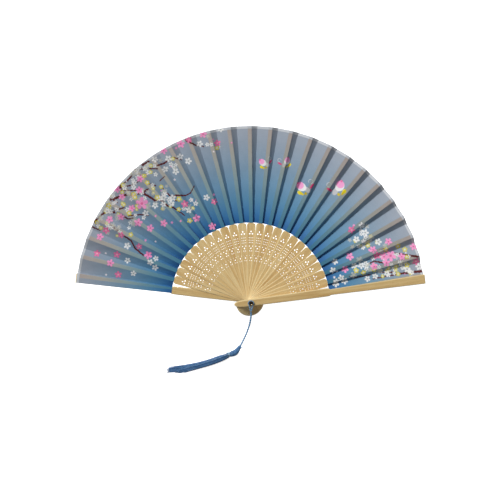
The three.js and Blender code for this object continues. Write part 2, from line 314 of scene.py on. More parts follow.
STICK_BAMBOO = bamboo_look("stick_bamboo", (200, 154, 90), (230, 196, 134), (246, 222, 168))
GUARD_BAMBOO = bamboo_look("guard_bamboo", (194, 152, 90), (222, 190, 130), (238, 210, 154))
SILK = silk_look()
THREAD = thread_look("blue_thread", (38, 78, 128), (74, 124, 178), (122, 168, 208), 0.6)
CORD_THREAD = thread_look("cord_thread", (70, 118, 162), (112, 160, 200), (164, 200, 226), 0.55)
BINDING_THREAD = thread_look("pale_thread", (112, 150, 182), (150, 184, 208), (190, 212, 226), 0.55)
BRASS = brass_look()


# ---- mesh tools ----


def mesh_object(name, vertices, faces, material, matrix=None, smooth_angle=None):
    """A mesh in the frame's metres, from vertices that matrix takes there."""
    mesh = bpy.data.meshes.new(name)
    mesh.from_pydata(np.asarray(vertices, float).tolist(), [], faces)
    if matrix is not None:
        mesh.transform(matrix)
    mesh.materials.append(material)
    mesh.shade_smooth()
    if smooth_angle:
        mesh.set_sharp_from_angle(angle=math.radians(smooth_angle))
    made = bpy.data.objects.new(name, mesh)
    bpy.context.scene.collection.objects.link(made)
    return made


def point_values(obj, name, values):
    attribute = obj.data.attributes.new(name, "FLOAT", "POINT")
    attribute.data.foreach_set("value", np.asarray(values, np.float32))


def piece(obj, body, slot, *nodes):
    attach(obj, body)
    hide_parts(*nodes)
    return obj


def smooth_path(points, steps):
    """Catmull-Rom through the points, with that many steps between one point and the next."""
    p = np.asarray(points, float)
    p = np.vstack([2 * p[0] - p[1], p, 2 * p[-1] - p[-2]])
    t = np.linspace(0, 1, steps, endpoint=False)[:, None]
    spans = []
    for a, b, c, d in zip(p, p[1:], p[2:], p[3:]):
        square = (2 * a - 5 * b + 4 * c - d) * t**2
        cube = (3 * b - a - 3 * c + d) * t**3
        spans.append(0.5 * (2 * b + (c - a) * t + square + cube))
    return np.vstack([*spans, p[-2:-1]])


def frames_along(path):
    """Tangents and two crosswise directions along a path, turned as little as possible from step to step."""
    tangents = np.gradient(path, axis=0)
    tangents /= np.linalg.norm(tangents, axis=1)[:, None]
    side = np.cross(tangents[0], (0.31, 0.17, 0.93))
    sides = []
    for tangent in tangents:
        side = side - tangent * (side @ tangent)
        side = side / np.linalg.norm(side)
        sides.append(side)
    sides = np.array(sides)
    return tangents, sides, np.cross(tangents, sides)


class Tubes:
    """Several tubes gathered in one mesh, each closed at both ends."""

    def __init__(self):
        self.vertices, self.faces, self.tones = [], [], []

    def add(self, path, radius, sides=8, tone=0.5):
        path = np.asarray(path, float)
        radii = np.broadcast_to(radius, len(path))
        _, across, up = frames_along(path)
        turn = np.linspace(0, 2 * math.pi, sides, endpoint=False)
        rings = path[:, None] + radii[:, None, None] * (
            across[:, None] * np.cos(turn)[None, :, None] + up[:, None] * np.sin(turn)[None, :, None]
        )
        start = len(self.vertices)
        self.vertices.extend(rings.reshape(-1, 3).tolist())
        self.tones.extend([tone] * len(path) * sides)
        for i in range(len(path) - 1):
            for j in range(sides):
                a = start + i * sides + j
                b = start + i * sides + (j + 1) % sides
                self.faces.append((a, b, b + sides, a + sides))
        last = start + (len(path) - 1) * sides
        self.faces.append(tuple(range(start + sides - 1, start - 1, -1)))
        self.faces.append(tuple(range(last, last + sides)))

    def object(self, name, material, matrix):
        made = mesh_object(name, self.vertices, self.faces, material, matrix, 60)
        point_values(made, "tone", self.tones)
        return made


def twisted(path, diameter, pitch):
    """The two plies of a twisted cord along a path."""
    _, across, up = frames_along(path)
    steps = np.linalg.norm(np.diff(path, axis=0), axis=1)
    turn = 2 * math.pi * np.concatenate([[0], np.cumsum(steps)]) / pitch
    plies = []
    for start in (0, math.pi):
        offset = np.cos(turn + start)[:, None] * across + np.sin(turn + start)[:, None] * up
        plies.append(path + 0.2 * diameter * offset)
    return plies


# ---- tassel cord, on the frame's own axes ----
CORD_DIAMETER = 2.1
CORD_PITCH = 5.5
# A scratch program worked these points out through a camera fitted to the photo. They need choosing by hand.
CORD_ROUTE = [
    (0.0, -16.7, -4.7),
    (0.2, -16.9, -6.9),
    (0.2, -17.2, -9.4),
    (0.0, -17.4, -12.0),
    (-0.4, -17.6, -14.9),
    (-0.9, -17.9, -18.0),
    (-1.7, -18.2, -21.2),
    (-2.7, -18.5, -24.5),
    (-3.8, -18.9, -27.9),
    (-5.0, -19.3, -31.1),
    (-6.4, -19.7, -34.4),
    (-7.9, -20.3, -37.6),
    (-9.4, -21.0, -40.7),
    (-11.1, -21.9, -43.6),
    (-12.9, -22.9, -46.2),
    (-14.7, -24.0, -48.3),
    (-16.4, -25.2, -49.7),
]


def tassel_cord():
    path = smooth_path(CORD_ROUTE, 6)
    tubes = Tubes()
    for ply, tone in zip(twisted(path, CORD_DIAMETER, CORD_PITCH), (0.42, 0.58)):
        tubes.add(ply, 0.3 * CORD_DIAMETER, 10, tone)
    made = tubes.object("twisted_tassel_cord", CORD_THREAD, Matrix.Scale(MM, 4))
    length = float(np.linalg.norm(np.diff(path, axis=0), axis=1).sum()) * MM
    return made, path * MM, length


cord, cord_path, cord_length = tassel_cord()
piece(cord, "front_guard", "tassel_thread", "tassel_cord")

# ---- tassel: knot, binding and skirt, laid on the floor along one heading ----
TASSEL = (
    Matrix.Scale(MM, 4)
    @ Matrix.Translation((-17.2, -26.0, FLOOR + 0.1))
    @ Matrix.Rotation(math.radians(207.45), 4, "Z")
)
HEAD_LENGTH = 6.4
HEAD_RADIUS = 3.2
BINDING_START = 2 * GAP + HEAD_LENGTH
BINDING_LENGTH = 2.4
BINDING_RADIUS = 2.8
SKIRT_LENGTH = 75.9


def tassel_knot():
    """A long knot: threads wound slantwise, both ways, from the skirt over the cord's last stretch, on a core
    toned darker as painted shade between the windings and with a loose thread toned palest as a painted
    highlight.
    """
    to_row = TASSEL.to_3x3().to_4x4() * (1 / MM)
    shift = TASSEL.translation / MM
    places = [Vector((x, 0, HEAD_RADIUS - 0.1 * x)) for x in (GAP + 1, 3.6, HEAD_LENGTH)]
    axis = [tuple(to_row.to_3x3() @ place + shift) for place in places]
    line = smooth_path([*CORD_ROUTE[13:], *axis], 12)
    steps = np.linalg.norm(np.diff(line, axis=0), axis=1)
    along = np.concatenate([[0], np.cumsum(steps)])
    share = along / along[-1]
    body = 1.25 + 1.55 * np.sin(math.pi * np.clip(share, 0, 1) ** 1.3 * 0.86 + 0.06) ** 0.8
    _, side, up = frames_along(line)
    tubes = Tubes()
    # The core under the windings gets a darker tone: painted shade in the gaps between the windings.
    tubes.add(line, body - 0.25, 14, 0.3)
    for start in range(4):
        for way, tone in ((1, 0.4), (-1, 0.7)):
            turn = way * 2 * math.pi * (along / 5.2 + start / 4)
            ring = (body + 0.06 * way)[:, None]
            path = line + ring * (np.cos(turn)[:, None] * side + np.sin(turn)[:, None] * up)
            tubes.add(path, 0.42, 7, tone + 0.05 * start)
    # A loose thread along the knot, given the palest tone as a painted highlight.
    loose = line[6] + np.array([(0.8, -0.9, 0.2), (2.0, -1.0, 0.3), (3.2, -0.8, 0.6), (4.2, -0.5, 0.8)])
    tubes.add(smooth_path(loose, 5), 0.36, 6, 0.95)
    return tubes.object("wound_tassel_knot", THREAD, Matrix.Scale(MM, 4))


def tassel_binding():
    tubes = Tubes()
    turns = 4
    t = np.linspace(0, 1, 30 * turns)
    turn = 2 * math.pi * turns * t
    x = BINDING_START + 0.35 + (BINDING_LENGTH - 0.7) * t
    ring = BINDING_RADIUS - 0.35
    path = np.stack([x, ring * np.cos(turn), BINDING_RADIUS + 0.05 + ring * np.sin(turn)], 1)
    tubes.add(path, 0.36, 7, 0.5)
    return tubes.object("tassel_binding_thread", BINDING_THREAD, TASSEL)


def tassel_skirt():
    """Loose threads from under the binding, spreading over the floor and gathering into pointed tufts."""
    tubes = Tubes()
    tufts = [(-0.95, 0.93), (-0.4, 0.98), (0.1, 1.0), (0.6, 0.9), (1.05, 0.86)]
    start = BINDING_START + 0.4
    t = np.linspace(0, 1, 30)
    for i in range(340):
        side, reach = tufts[i % len(tufts)]
        stray = i % 34 == 0
        angle = rng.uniform(0, 2 * math.pi)
        depth = math.sqrt(rng.uniform(0.12, 1.0))
        length = SKIRT_LENGTH * reach * rng.uniform(0.86, 1.0)
        x = start + length * t
        share = t * length / SKIRT_LENGTH
        width = 2.2 + 1.9 * np.clip(share / 0.14, 0, 1) ** 0.7 + 2.2 * share + 2.4 * share**4
        height = 2.2 + 0.7 * np.clip(share / 0.14, 0, 1) - 0.9 * share
        gather = np.clip((share - 0.45) / 0.5, 0, 1) ** 1.5
        spread = depth * math.cos(angle)
        across = (1 - gather) * spread + gather * (side + 0.22 * spread * (1.2 - gather))
        ripple = 0.25 * np.sin(rng.uniform(5, 9) * t + rng.uniform(0, 6)) * t
        y = width * across + ripple + 5.5 * np.sin(math.pi * share**0.9) * np.clip(2 - share, 0, 1)
        z = height * (1 + 0.93 * depth * math.sin(angle)) * (1 - 0.55 * gather * rng.uniform(0.4, 1.0))
        if stray:
            y = y + rng.uniform(-3.0, 3.0) * t**3
        radius = 0.27 * (1 - 0.45 * t**4)
        path = np.stack([x, y, np.maximum(z, 0.3)], 1)
        tubes.add(path, radius, 6, float(np.clip(rng.normal(0.5, 0.22), 0, 1)))
    return tubes.object("tassel_skirt_threads", THREAD, TASSEL)


knot = piece(tassel_knot(), "front_guard", "tassel_thread", "tassel_head")
binding = piece(tassel_binding(), "front_guard", "tassel_thread", "tassel_binding")
piece(tassel_skirt(), "front_guard", "tassel_thread", "tassel_skirt")

# ---- loop of cord round the eyelet's neck ----
FACE = STACK / 2 + GAP
LOOP_HEIGHT = FACE + 1.4
LOOP_DIAMETER = 1.35
LOOP_RADIUS = 2.8


def cord_loop():
    height = LOOP_HEIGHT
    points = [(0.6, -8.4, height), (0.9, -6.4, height), (1.5, -4.0, height)]
    for angle in range(-40, 221, 20):
        a = math.radians(angle)
        points.append((LOOP_RADIUS * math.cos(a), LOOP_RADIUS * math.sin(a), height))
    points += [(-1.5, -4.0, height), (-0.9, -6.4, height), (-0.6, -8.4, height)]
    tubes = Tubes()
    for ply, tone in zip(twisted(smooth_path(points, 8), LOOP_DIAMETER, 3.2), (0.42, 0.6)):
        tubes.add(ply, 0.3 * LOOP_DIAMETER, 8, tone)
    return tubes.object("twisted_cord_loop", CORD_THREAD, FAN)


piece(cord_loop(), "front_guard", "tassel_thread", "cord_loop")

# ---- eyelet and washer, turned about the pivot axis ----
BORE = 1.3
SHANK = 1.7
WASHER = 0.5


def arc(centre, radius, start, end, steps):
    """Points of a circular arc, in degrees."""
    angles = np.radians(np.linspace(start, end, steps))
    return [(centre[0] + radius * math.cos(a), centre[1] + radius * math.sin(a)) for a in angles]


def turned(name, profile, material, segments=48):
    """A ring turned about z from a closed profile of (radius, z)."""
    count = len(profile)
    angles = np.linspace(0, 2 * math.pi, segments, endpoint=False)
    vertices = [(r * math.cos(a), r * math.sin(a), z) for a in angles for r, z in profile]
    faces = []
    for i in range(segments):
        for j in range(count):
            a, b = i * count, ((i + 1) % segments) * count
            k = (j + 1) % count
            faces.append((a + j, b + j, b + k, a + k))
    return mesh_object(name, vertices, faces, material, FAN, 35)


def eyelet_profile():
    back = -FACE - WASHER
    return [
        (BORE, back - 0.7),
        *arc((1.9, back - 0.6), 0.5, 225, 360, 7),
        (2.4, back - GAP),
        (SHANK, back - GAP),
        (SHANK, FACE),
        (2.7, FACE),
        *arc((2.65, FACE + 0.25), 0.25, -90, 90, 6),
        (2.0, FACE + 0.5),
        (2.0, FACE + 2.2),
        *arc((2.15, FACE + 2.45), 0.35, -60, 150, 9),
        (BORE, FACE + 2.3),
    ]


def washer_profile():
    middle = -FACE - WASHER / 2
    return [
        (SHANK + GAP, -FACE),
        (SHANK + GAP, -FACE - WASHER),
        *arc((2.95, middle), 0.25, -90, 90, 7),
    ]


piece(turned("rolled_eyelet", eyelet_profile(), BRASS), "front_guard", "eyelet_brass", "eyelet")
piece(turned("flat_back_washer", washer_profile(), BRASS), "front_guard", "eyelet_brass", "back_washer")


# ---- bamboo blades ----
STICK_CROWN = 0.95  # width over which a blade's edges are rounded
GUARD_CROWN = 1.3


def prisms(holes, thickness):
    """One mesh object of upright prisms, one for each hole, that reach beyond both faces of a blade."""
    vertices, faces = [], []
    for points in holes:
        start, count = len(vertices), len(points)
        for z in (-thickness, 2 * thickness):
            vertices += [(x, y, z) for x, y in points]
        faces.append(tuple(range(start + count - 1, start - 1, -1)))
        faces.append(tuple(range(start + count, start + 2 * count)))
        for i in range(count):
            a, b = start + i, start + (i + 1) % count
            faces.append((a, b, b + count, a + count))
    return mesh_object("holes", vertices, faces, STICK_BAMBOO)


def crowned_blank(outline, thickness, width, height):
    """A blade without its holes: its edges are rounded over a width and a height of their own."""
    curve = bpy.data.curves.new("outline", "CURVE")
    curve.dimensions = "2D"
    curve.fill_mode = "BOTH"
    curve.extrude = (thickness / 2 - height) * width / height
    curve.bevel_depth = width
    curve.bevel_resolution = 4
    curve.offset = -width
    spline = curve.splines.new("POLY")
    spline.points.add(len(outline) - 1)
    spline.use_cyclic_u = True
    for target, (x, y) in zip(spline.points, outline):
        target.co = (x, y, 0, 1)
    source = bpy.data.objects.new("blank", curve)
    bpy.context.scene.collection.objects.link(source)
    bpy.context.view_layer.update()
    mesh = bpy.data.meshes.new_from_object(source.evaluated_get(bpy.context.evaluated_depsgraph_get()))
    bpy.data.objects.remove(source)
    bpy.data.curves.remove(curve)
    bm = bmesh.new()
    bm.from_mesh(mesh)
    bmesh.ops.remove_doubles(bm, verts=bm.verts, dist=0.004)
    bmesh.ops.scale(bm, verts=bm.verts, vec=(1, 1, height / width))
    bmesh.ops.translate(bm, verts=bm.verts, vec=(0, 0, thickness / 2))
    bmesh.ops.recalc_face_normals(bm, faces=bm.faces)
    bm.to_mesh(mesh)
    bm.free()
    return mesh


def flat_blade(name, outline, holes, thickness, width, height, material):
    """A blade from its outline and holes, in millimetres, with its back face at z = 0."""
    blank = bpy.data.objects.new(name, crowned_blank(outline, thickness, width, height))
    bpy.context.scene.collection.objects.link(blank)
    cutter = prisms(holes, thickness)
    cut = blank.modifiers.new("cut", "BOOLEAN")
    cut.operation = "DIFFERENCE"
    cut.solver = "EXACT"
    cut.object = cutter
    bpy.context.view_layer.update()
    mesh = bpy.data.meshes.new_from_object(blank.evaluated_get(bpy.context.evaluated_depsgraph_get()))
    bpy.data.objects.remove(blank)
    bpy.data.objects.remove(cutter)
    mesh.name = name
    mesh.materials.clear()
    mesh.materials.append(material)
    mesh.shade_smooth()
    mesh.set_sharp_from_angle(angle=math.radians(40))
    for face in mesh.polygons:
        face.use_smooth = abs(face.normal.z) < 0.9999
    return mesh


def curve_to(start, bend, end, steps=6):
    """Points of a quadratic curve after its start."""
    t = np.linspace(0, 1, steps + 1)[1:, None]
    p = (1 - t) ** 2 * np.array(start) + 2 * t * (1 - t) * np.array(bend) + t**2 * np.array(end)
    return [tuple(q) for q in p]


def petal(r, across, length, width, lean=0.0):
    """A pierced petal: an oval drawn to a blunt point at its inner end. lean turns it, in degrees."""
    points = []
    for angle in np.radians(np.arange(0, 360, 30)):
        x = 0.5 * length * math.cos(angle)
        y = 0.5 * width * math.sin(angle) * (0.8 + 0.35 * math.cos(angle))
        c, s = math.cos(math.radians(lean)), math.sin(math.radians(lean))
        points.append((r + x * c - y * s, across + x * s + y * c))
    return points


def pair(r, across, length, width, lean):
    return [petal(r, across, length, width, lean), petal(r, -across, length, width, -lean)]


def fretwork():
    """The pierced pattern of a stick: a three-petal bud, three rows of dashes and two small flowers."""
    holes = [petal(76.6, 0, 1.9, 1.25), *pair(74.2, 1.45, 1.35, 1.9, 30)]
    for r in (69.9, 67.1, 64.5):
        holes += [petal(r, across, 0.55, 1.25) for across in (-1.9, 0, 1.9)]
    for centre, middle_width in ((58.4, 1.4), (47.9, 1.2)):
        holes.append(petal(centre, 0, 1.4, middle_width))
        holes += pair(centre + 2.4, 1.8, 1.15, 0.95, 0)
        holes += pair(centre - 2.9, 1.0, 1.5, 0.65, 28)
    return holes


def pivot_hole():
    return arc((0, 0), PIVOT_HOLE_RADIUS, 0, 345, 24)


STICK_CROWN_HEIGHT = 0.27
GUARD_CROWN_HEIGHT = 0.9
TOP_OVERLAP = 0.15  # how far a stick's top is wider than its flare, on each side


def stick_mesh():
    w = FLARE_HALF_WIDTH + TOP_OVERLAP
    tail = ROOT_HALF_WIDTH
    shoulder = SHOULDER_REACH - SHOULDER_ROUND
    slope = math.tan(math.radians(RIDGE))
    inner, outer = SHOULDER_REACH * slope, STRIP_REACH * slope
    outline = [
        (shoulder, -w),
        *curve_to((shoulder, -w), (SHOULDER_REACH, -w), (SHOULDER_REACH, inner - STRIP_WIDTH)),
        (STRIP_REACH, outer - STRIP_WIDTH),
        (STRIP_REACH, outer),
        (SHOULDER_REACH, inner),
        *curve_to((SHOULDER_REACH, inner), (SHOULDER_REACH, w), (shoulder, w)),
        (FLARE_REACH, FLARE_HALF_WIDTH),
        (0, tail),
        *arc((tail - TAIL_REACH, 0), tail, 90, 270, 15),
        (0, -tail),
        (FLARE_REACH, -FLARE_HALF_WIDTH),
    ]
    holes = [pivot_hole(), *fretwork()]
    size = (STICK_THICKNESS, STICK_CROWN, STICK_CROWN_HEIGHT)
    mesh = flat_blade("stick", outline, holes, *size, STICK_BAMBOO)
    for vertex in mesh.vertices:
        along = (vertex.co.x - SHOULDER_REACH) / (STRIP_REACH - SHOULDER_REACH)
        if along > 0 and vertex.co.z > STICK_THICKNESS / 2:
            vertex.co.z -= TIP_THINNING * along
    return mesh


def guard_mesh(side):
    inner, outer, tail = GUARD_INNER, GUARD_OUTER, GUARD_TAIL
    shoulder = SHOULDER_REACH - SHOULDER_ROUND
    neck = SHOULDER_REACH + 1.5
    outer_bend = (SHOULDER_REACH, -outer["flare"])
    inner_bend = (SHOULDER_REACH, inner["flare"])
    outline = [
        (0, inner["root"]),
        *curve_to((0, inner["root"]), (-tail, 1.3 * inner["root"]), (-tail, 0.4), 11),
        *curve_to((-tail, 0.4), (-0.95 * tail, -1.2 * outer["root"]), (0, -outer["root"]), 11),
        (GUARD_FLARE, -outer["flare"]),
        (shoulder, -outer["flare"]),
        *curve_to((shoulder, -outer["flare"]), outer_bend, (neck, -outer["neck"])),
        (GUARD_REACH, -outer["tip"]),
        (GUARD_REACH, inner["tip"]),
        (neck, inner["neck"]),
        *curve_to((neck, inner["neck"]), inner_bend, (shoulder, inner["flare"])),
        (GUARD_FLARE, inner["flare"]),
    ]
    size = (GUARD_THICKNESS, GUARD_CROWN, GUARD_CROWN_HEIGHT)
    mesh = flat_blade("guard", outline, [pivot_hole()], *size, GUARD_BAMBOO)
    if side < 0:
        mesh.transform(Matrix.Translation((0, 0, GUARD_THICKNESS)) @ Matrix.Rotation(math.pi, 4, "X"))
    return mesh


def mesh_height(mesh):
    return max(v.co.z for v in mesh.vertices)


def add_blade(name, mesh, angle, back, tone):
    made = bpy.data.objects.new(name, mesh.copy())
    made.data.transform(Matrix.Scale(MM, 4))
    bpy.context.scene.collection.objects.link(made)
    point_values(made, "tone", [tone] * len(made.data.vertices))
    height = mesh_height(mesh)
    # edge is 1 halfway up a blade's sides and 0 on its faces: where the bamboo look paints its pale edges, partly
    # cut bamboo and partly painted highlight.
    rise = np.array([abs(2 * v.co.z / height - 1) for v in mesh.vertices])
    point_values(made, "edge", np.sqrt(np.clip(1 - rise**2, 0, 1)))
    made.matrix_world = blade_matrix(angle, back) @ Matrix.Scale(1 / MM, 4)
    return made


def numbered(name, k):
    return f"{name}_{k:02d}"


def body_of_stick(k):
    """The body of blade k: the front guard is blade 0 and the back guard comes after the last stick."""
    if k == 0:
        return "front_guard"
    return numbered("stick", k) if k <= STICKS else "back_guard"


stick = stick_mesh()
for k in range(1, STICKS + 1):
    made = add_blade(numbered("pierced_stick", k), stick, stick_angle(k), stick_back(k), rng.uniform(0, 1))
    piece(made, body_of_stick(k), "bamboo_stick", numbered("stick", k))
front = add_blade("rounded_front_guard", guard_mesh(1), FRONT_GUARD_ANGLE, FRONT_GUARD_BACK, 0.3)
piece(front, "front_guard", "bamboo_guard", "front_guard")
back = add_blade("rounded_back_guard", guard_mesh(-1), BACK_GUARD_ANGLE, -STACK / 2, 0.55)
piece(back, "back_guard", "bamboo_guard", "back_guard")


# ---- the print on the silk: each motif's place is an angle in degrees and a radius in millimetres ----
PALE_PINK = linear(250, 160, 208)
DEEP_PINK = linear(240, 122, 172)
WHITE = linear(244, 244, 242)
YELLOW = linear(226, 214, 70)
BARK = linear(92, 26, 30)

# Most of these branches were read off the photo and turned into angles and radii by a scratch program, which
# this file should not hold. They need choosing again by hand.
BRANCHES = [  # the points of each brush line, and its half width at the start and at the end
    ([(131.5, 191), (128.5, 184), (125, 176)], 0.8, 0.5),
    ([(128.5, 189), (126, 188)], 1.0, 0.9),
    ([(124.5, 179), (122, 177), (119.5, 178)], 0.7, 0.8),
    ([(118, 177), (116, 171)], 0.6, 0.3),
    ([(112, 189), (109.5, 180), (107, 176)], 0.9, 0.5),
    ([(132, 189), (131, 183), (131.5, 179)], 0.9, 0.6),
    ([(133, 188), (136, 187), (137, 188)], 0.8, 0.6),
    ([(139.5, 189), (137.5, 189)], 0.9, 0.5),
    ([(139.5, 189), (135, 179), (132.5, 178)], 0.8, 0.4),
    ([(131.5, 172), (129.5, 163)], 0.5, 0.8),
    ([(127, 164), (124.5, 165)], 0.5, 0.4),
    ([(128, 158), (127.5, 145), (127, 141), (126.5, 136)], 0.7, 0.6),
    ([(140.5, 190), (136, 173)], 0.7, 0.5),
    ([(144, 188), (142, 183), (139.5, 178), (137, 171), (135, 167), (132.5, 165)], 1.2, 0.9),
    ([(143.5, 185), (143.5, 180)], 0.8, 0.4),
    ([(135, 167), (134, 157), (133.5, 151), (131.5, 147), (131, 138), (129.5, 132), (127.5, 118)], 1.1, 0.5),
    ([(127, 142), (125, 141), (121.5, 135), (119, 135), (116, 140)], 0.9, 0.4),
    ([(153, 190), (150, 187), (148.5, 185)], 1.1, 0.9),
    ([(148, 184), (147, 177)], 1.3, 1.1),
    ([(146, 177), (143.5, 171)], 0.9, 0.6),
    ([(146.5, 169), (146, 160), (144.5, 156)], 0.9, 0.4),
    ([(145, 162), (141.5, 151), (140, 145)], 0.6, 0.6),
    ([(151.5, 172), (152.5, 160), (153.2, 146), (155.7, 138), (157, 127)], 0.8, 0.7),
    ([(155, 190), (155, 181)], 0.8, 0.5),
    ([(10.5, 189), (11, 165), (11, 136)], 1.2, 0.4),
    ([(12, 159), (13, 145)], 0.8, 0.4),
    ([(13, 134), (13.5, 117), (15, 111)], 0.6, 0.4),
    ([(15.5, 189), (17.5, 175), (19, 166)], 1.0, 0.6),
    ([(22, 158), (22.5, 150)], 0.7, 0.4),
    ([(17, 150), (18.5, 142), (18, 131)], 0.8, 0.4),
]
CLUSTERS = [  # angle, radius, spread and number of small blossoms
    *[(120, 170, 6, 7), (127, 182, 7, 16), (131, 187, 4, 8), (147, 185, 6, 18), (132, 142, 6, 12)],
    *[(136, 180, 6, 12), (140, 171, 6, 10), (150, 158, 6, 8), (152, 180, 6, 14), (105, 178, 6, 6)],
    *[(133, 165, 6, 10), (143, 182, 5, 8), (129, 150, 5, 8), (145, 160, 5, 7), (123, 125, 6, 7)],
    *[(30, 146, 5, 10), (27, 138, 6, 12), (14, 160, 7, 16), (12, 147, 6, 10), (17, 133, 7, 10)],
    *[(11, 172, 6, 10), (16, 176, 6, 8), (22, 150, 6, 8)],
]
PALE_PINK_FLOWERS = [
    *[(157, 178), (150, 177), (147, 168), (142, 164), (141, 180), (135, 171), (132, 179), (140, 189), (120, 189)],
    *[(114, 187), (106, 189), (165, 158), (156, 122), (144, 135), (145, 149), (138, 127), (123, 108), (117, 92)],
    *[(24, 164), (17, 172), (16.5, 154), (19, 154), (19, 188), (23.5, 145), (16.5, 140), (25, 119), (19.5, 109)],
]
BIG_PINK_FLOWERS = [(138, 159), (18.5, 161)]
DEEP_PINK_FLOWERS = [
    *[(163, 175), (154, 175), (111, 188), (161, 154), (169, 147), (153, 158), (154, 135), (124, 128), (110, 116)],
    *[(102, 176), (14, 186), (20.5, 147), (36, 135)],
]
WHITE_FLOWERS = [
    *[(156, 147), (162, 141), (167, 131), (159, 117), (140, 149), (135, 147), (129, 137), (127, 141), (120, 179)],
    *[(120, 163), (114, 167), (116, 175), (108, 180), (113, 123), (156, 113), (161, 110), (123, 171), (130, 147)],
    *[(148, 184), (124, 186), (100, 190), (132, 142), (124, 120), (25.5, 154), (31.5, 146), (31, 134), (12, 175)],
    *[(12, 152), (12, 139), (11.5, 130), (18.5, 127), (19.5, 120), (13, 105), (12.5, 95), (14, 96), (12, 188)],
    *[(26, 102), (21.5, 96), (15.5, 102), (35, 147)],
]
FADED_FLOWERS = [(21.5, 127), (15, 116), (28.5, 148), (143, 190), (133, 190), (151, 187), (137, 153)]
YELLOW_FLOWERS = [
    *[(151, 149), (132, 152), (128, 127), (127, 110), (131, 171), (128, 158), (144, 163), (146, 186), (154, 181)],
    *[(140, 161), (138, 169), (125, 136), (11, 164), (21, 172), (21.5, 158), (15, 127), (19, 178), (13.5, 176)],
    *[(26, 142), (17, 120)],
]
PINK_BUDS = [
    *[(162, 166), (97, 174), (135, 121), (120, 128), (109, 123), (138, 139), (116, 185), (27, 133), (24, 141)],
    *[(37, 140), (104, 168), (122, 156), (170, 160), (150, 132), (148, 122), (131, 116), (17, 95), (20, 100)],
]
BUTTERFLIES = [  # angle, radius, size, direction of the front wing and which side the back wing is on
    (85.3, 152, 7.2, 145, -1),
    (75.8, 158, 7.0, 60, 1),
    (66.5, 137, 9.6, 143, -1),
    (52.7, 159, 10.2, 60, 1),
]


def polar(angle, radius):
    a = math.radians(angle)
    return radius * math.cos(a), radius * math.sin(a)


